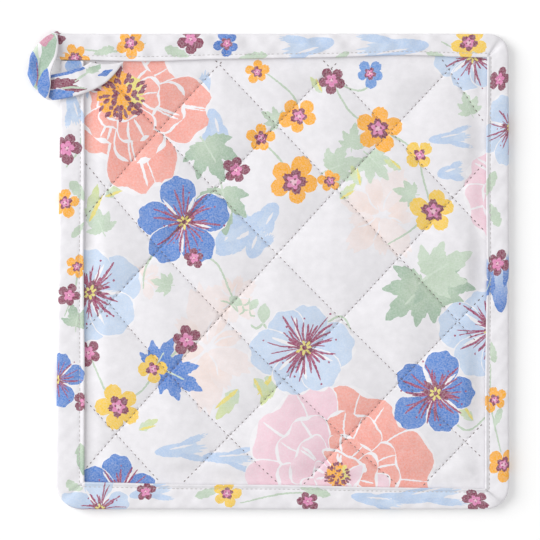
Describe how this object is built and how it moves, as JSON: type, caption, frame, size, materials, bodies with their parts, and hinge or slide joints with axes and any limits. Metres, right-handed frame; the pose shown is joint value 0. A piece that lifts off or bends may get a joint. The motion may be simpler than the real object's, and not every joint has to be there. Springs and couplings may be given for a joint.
{
  "type": "pot holder",
  "caption": "Quilted cotton pot holder with a floral print, sewn in diamonds, with a mitred folded binding and a hanging loop at one corner.",
  "frame": {"origin": "middle of the panel's flat back, where it rests on the surface", "axes": "+Z out of the printed front face, +Y towards the bound edge that the loop runs from, +X to the right with the front face seen and +Y up"},
  "size_m": [0.213, 0.211, 0.0088],
  "materials": {
    "printed_cotton": "matt plain weave, printed",
    "binding_cotton": "matt plain weave, printed",
    "loop_cotton": "matt plain weave, printed"
  },
  "bodies": {
    "root": {"quilted_panel": "printed_cotton", "binding": "binding_cotton", "hanging_loop": "loop_cotton"}
  },
  "joints": []
}
